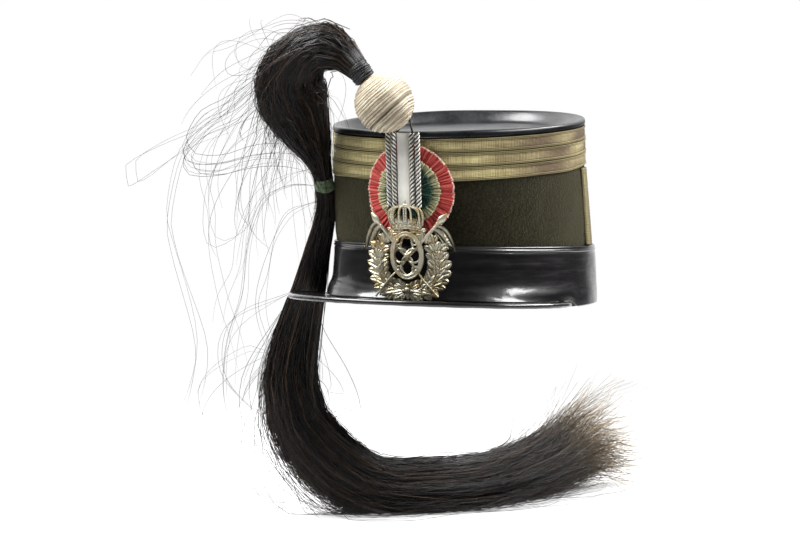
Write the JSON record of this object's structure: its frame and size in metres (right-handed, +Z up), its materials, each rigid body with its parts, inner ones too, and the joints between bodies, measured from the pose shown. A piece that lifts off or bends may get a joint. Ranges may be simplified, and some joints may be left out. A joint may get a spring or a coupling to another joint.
{
  "type": "kepi",
  "caption": "Cloth military kepi with leather band, peak and sunken top, woven lace, cockade, cast badge and a long falling horsehair plume.",
  "frame": {"origin": "centre of the head opening, in the plane of its lower edge at the sides and rear", "axes": "+Z up through the crown, -Y to the front where the peak is, +X to the wearer's left"},
  "size_m": [0.2371, 0.3572, 0.3103],
  "materials": {
    "cloth": "napped wool cloth, matt",
    "lace": "woven gilt-thread lace, soft metallic sheen",
    "leather": "black patent leather, glossy",
    "top_leather": "black lacquered leather, worn gloss",
    "cockade_green": "pleated silk ribbon",
    "cockade_white": "pleated silk ribbon, yellowed",
    "cockade_red": "pleated silk ribbon",
    "silver_cord": "twisted metallic cord, tarnished",
    "silver_ribbon": "grey silk ribbon, faded",
    "badge_metal": "cast and silvered brass, aged",
    "ball_cord": "wound metallic and cream cord",
    "wire": "darkened steel wire",
    "hair": "black-brown horsehair",
    "thread": "black waxed thread",
    "tie": "green cotton tape"
  },
  "bodies": {
    "root": {"crown_body": "cloth", "top_leather": "top_leather", "lace_lower": "lace", "lace_middle": "lace", "lace_upper": "lace", "leather_band": "leather", "peak": "leather", "peak_binding": "leather", "side_braid_right": "lace", "side_braid_left": "lace", "cockade_green": "cockade_green", "cockade_white": "cockade_white", "cockade_red": "cockade_red", "loop_ribbon": "silver_ribbon", "loop_cord_1": "silver_cord", "loop_cord_2": "silver_cord", "loop_cord_3": "silver_cord", "loop_cord_4": "silver_cord", "badge": "badge_metal", "pompon_ball": "ball_cord", "pompon_wire": "wire", "plume": "hair", "plume_binding": "thread", "plume_tie": "tie"}
  },
  "joints": []
}
